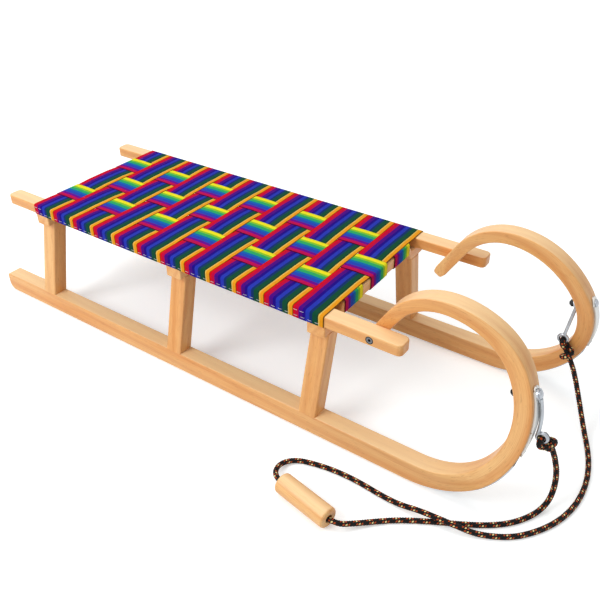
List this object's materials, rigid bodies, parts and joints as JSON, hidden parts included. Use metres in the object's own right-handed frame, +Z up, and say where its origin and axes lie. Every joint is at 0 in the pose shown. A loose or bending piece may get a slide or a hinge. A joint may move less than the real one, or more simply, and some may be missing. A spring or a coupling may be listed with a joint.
{
  "type": "wooden horn sled",
  "caption": "Wooden horn sled with bent runners, splayed legs, steel shoes, a woven webbing seat and a pull rope with a wooden grip.",
  "frame": {"origin": "on the ground under the middle of the sled without its rope", "axes": "+X forward to the horns, +Y to the sled's left, +Z up"},
  "size_m": [1.2138, 0.5241, 0.31],
  "materials": {
    "bent_wood": "clear satin lacquer over pale steam-bent wood",
    "handle_wood": "turned, satin",
    "bright_steel": "zinc-plated, dull",
    "cross_webbing": "striped woven webbing",
    "long_webbing": "striped woven webbing",
    "braided_rope": "round braid with light flecks"
  },
  "bodies": {
    "root": {"cross_strap_01": "cross_webbing", "cross_strap_02": "cross_webbing", "cross_strap_03": "cross_webbing", "cross_strap_04": "cross_webbing", "cross_strap_05": "cross_webbing", "cross_strap_06": "cross_webbing", "cross_strap_07": "cross_webbing", "cross_strap_08": "cross_webbing", "cross_strap_09": "cross_webbing", "cross_strap_10": "cross_webbing", "cross_strap_11": "cross_webbing", "cross_strap_12": "cross_webbing", "front_crossbeam": "bent_wood", "left_front_leg": "bent_wood", "left_horn_bolt": "bright_steel", "left_horn_plate": "bright_steel", "left_long_strap": "long_webbing", "left_middle_leg": "bent_wood", "left_rail_bolt": "bright_steel", "left_rear_leg": "bent_wood", "left_rope_hanger": "bright_steel", "left_rope_knot": "braided_rope", "left_runner": "bent_wood", "left_runner_shoe": "bright_steel", "left_seat_rail": "bent_wood", "middle_crossbeam": "bent_wood", "middle_long_strap": "long_webbing", "pull_handle": "handle_wood", "pull_rope": "braided_rope", "rear_crossbeam": "bent_wood", "right_front_leg": "bent_wood", "right_horn_bolt": "bright_steel", "right_horn_plate": "bright_steel", "right_long_strap": "long_webbing", "right_middle_leg": "bent_wood", "right_rail_bolt": "bright_steel", "right_rear_leg": "bent_wood", "right_rope_hanger": "bright_steel", "right_rope_knot": "braided_rope", "right_runner": "bent_wood", "right_runner_shoe": "bright_steel", "right_seat_rail": "bent_wood"}
  },
  "joints": []
}
